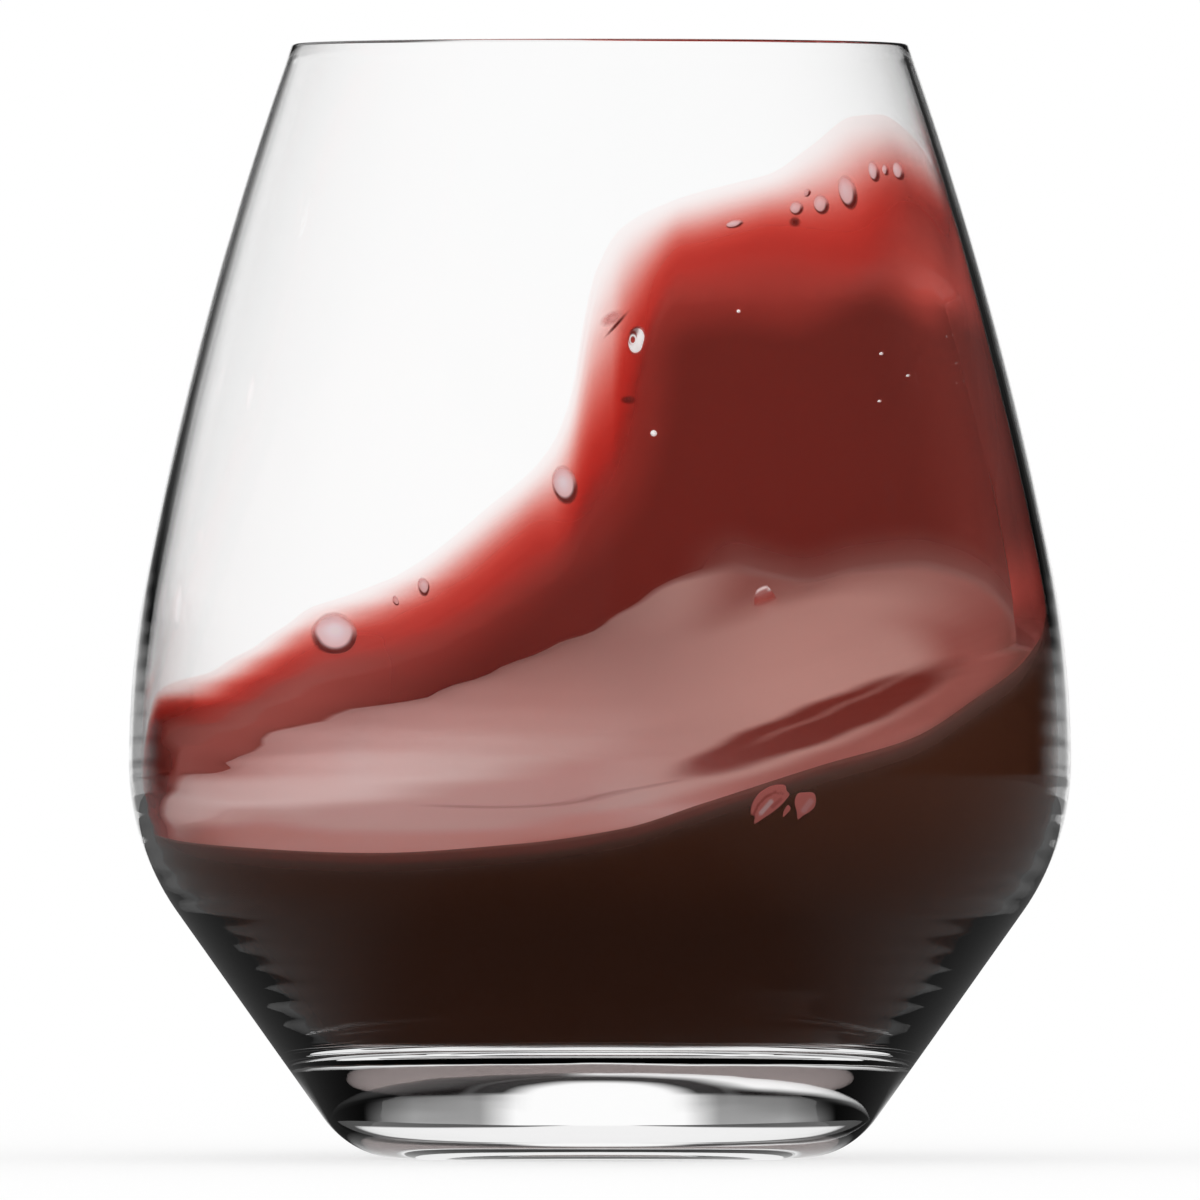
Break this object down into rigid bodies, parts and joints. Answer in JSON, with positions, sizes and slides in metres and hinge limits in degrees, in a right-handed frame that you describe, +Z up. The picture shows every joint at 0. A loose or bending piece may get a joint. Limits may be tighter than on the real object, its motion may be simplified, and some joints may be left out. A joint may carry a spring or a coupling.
{
  "type": "stemless wine glass with swirling wine",
  "caption": "Stemless wine glass with a wide belly, narrow rim, slanted lower wall and thick clear base, holding red wine that swirls up one side.",
  "frame": {"origin": "on the table, under the centre of the round base", "axes": "+Z up along the glass's axis, towards the rim; +X to the right and +Y to the back as the picture sees it, so the wine stands up towards +X and +Y"},
  "size_m": [0.0998, 0.0998, 0.118],
  "materials": {
    "clear_glass": "polished",
    "red_wine": "gloss",
    "bubble_film": "gloss",
    "wine_foam": "satin"
  },
  "bodies": {
    "glass": {"glass": "clear_glass"},
    "wine": {"wine": "red_wine", "crest_bubbles": "bubble_film", "edge_bubbles": "bubble_film", "face_bubbles": "bubble_film", "foam_flecks": "wine_foam"}
  },
  "joints": [
    {"name": "wine_swirl", "type": "hinge", "parent": "glass", "child": "wine", "pos_m": [0, 0, 0.045], "axis": [0, 0, 1], "continuous": true}
  ]
}
